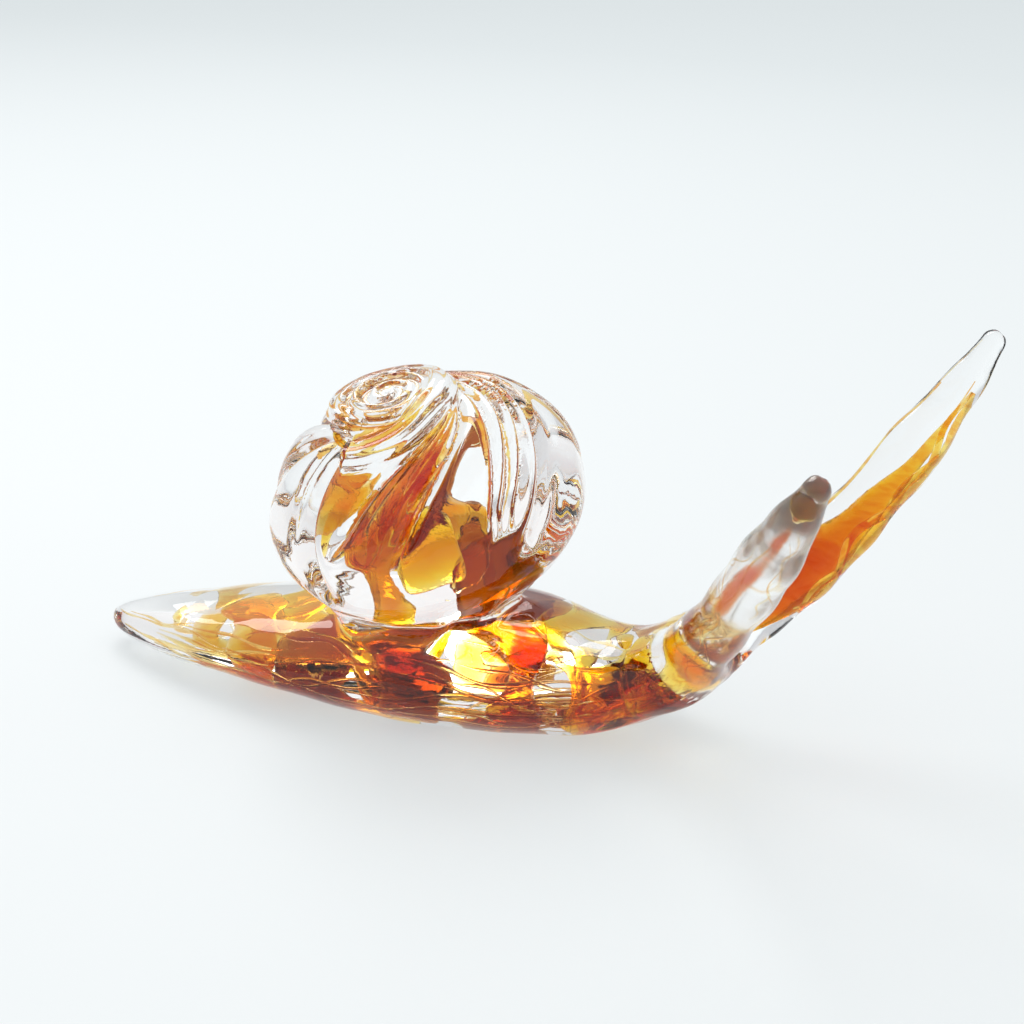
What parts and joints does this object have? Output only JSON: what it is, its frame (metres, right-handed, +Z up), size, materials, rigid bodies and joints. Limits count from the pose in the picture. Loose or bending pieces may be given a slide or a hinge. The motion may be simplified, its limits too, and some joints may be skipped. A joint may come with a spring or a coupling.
{
  "type": "snail figurine",
  "caption": "Hot-sculpted solid glass snail: clear tail, foot, neck and tentacles with a twisted ribbed shell, and amber colour chips cased inside. Stands on a flat foot.",
  "frame": {"origin": "on the flat resting face, straight below the middle of the shell", "axes": "+X towards the head, +Y to the snail's left, +Z up out of the resting face"},
  "size_m": [0.2141, 0.0797, 0.0936],
  "materials": {
    "clear_glass": "fire-polished clear soda-lime glass",
    "honey_glass": "transparent honey-yellow colour glass cased in clear",
    "amber_glass": "transparent amber-orange colour glass cased in clear",
    "umber_glass": "transparent red-brown colour glass cased in clear"
  },
  "bodies": {
    "root": {"belly_umber_chip": "umber_glass", "body_gather": "clear_glass", "far_belly_umber_chip": "umber_glass", "far_flank_amber_chip": "amber_glass", "far_hip_honey_chip": "honey_glass", "far_neck_umber_chip": "umber_glass", "far_throat_honey_chip": "honey_glass", "flank_honey_chip": "honey_glass", "flank_umber_chip": "umber_glass", "fold_amber_chip": "amber_glass", "hip_amber_chip": "amber_glass", "keel_amber_chip": "amber_glass", "left_tentacle": "clear_glass", "left_tentacle_amber_streak": "amber_glass", "neck_amber_chip": "amber_glass", "right_tentacle": "clear_glass", "right_tentacle_amber_streak": "amber_glass", "right_tentacle_tip_streak": "umber_glass", "saddle_honey_chip": "honey_glass", "shell_back_amber_chip": "amber_glass", "shell_back_umber_chip": "umber_glass", "shell_crown_amber_chip": "amber_glass", "shell_far_amber_chip": "amber_glass", "shell_far_honey_chip": "honey_glass", "shell_gather": "clear_glass", "shell_honey_block": "honey_glass", "shell_left_amber_chip": "amber_glass", "shell_orange_block": "amber_glass", "shell_rope_streak": "amber_glass", "shell_tail_honey_chip": "honey_glass", "shell_umber_veil": "umber_glass", "shell_window_amber_chip": "amber_glass", "tail_amber_chip": "amber_glass", "tail_honey_chip": "honey_glass", "throat_amber_chip": "amber_glass"}
  },
  "joints": []
}
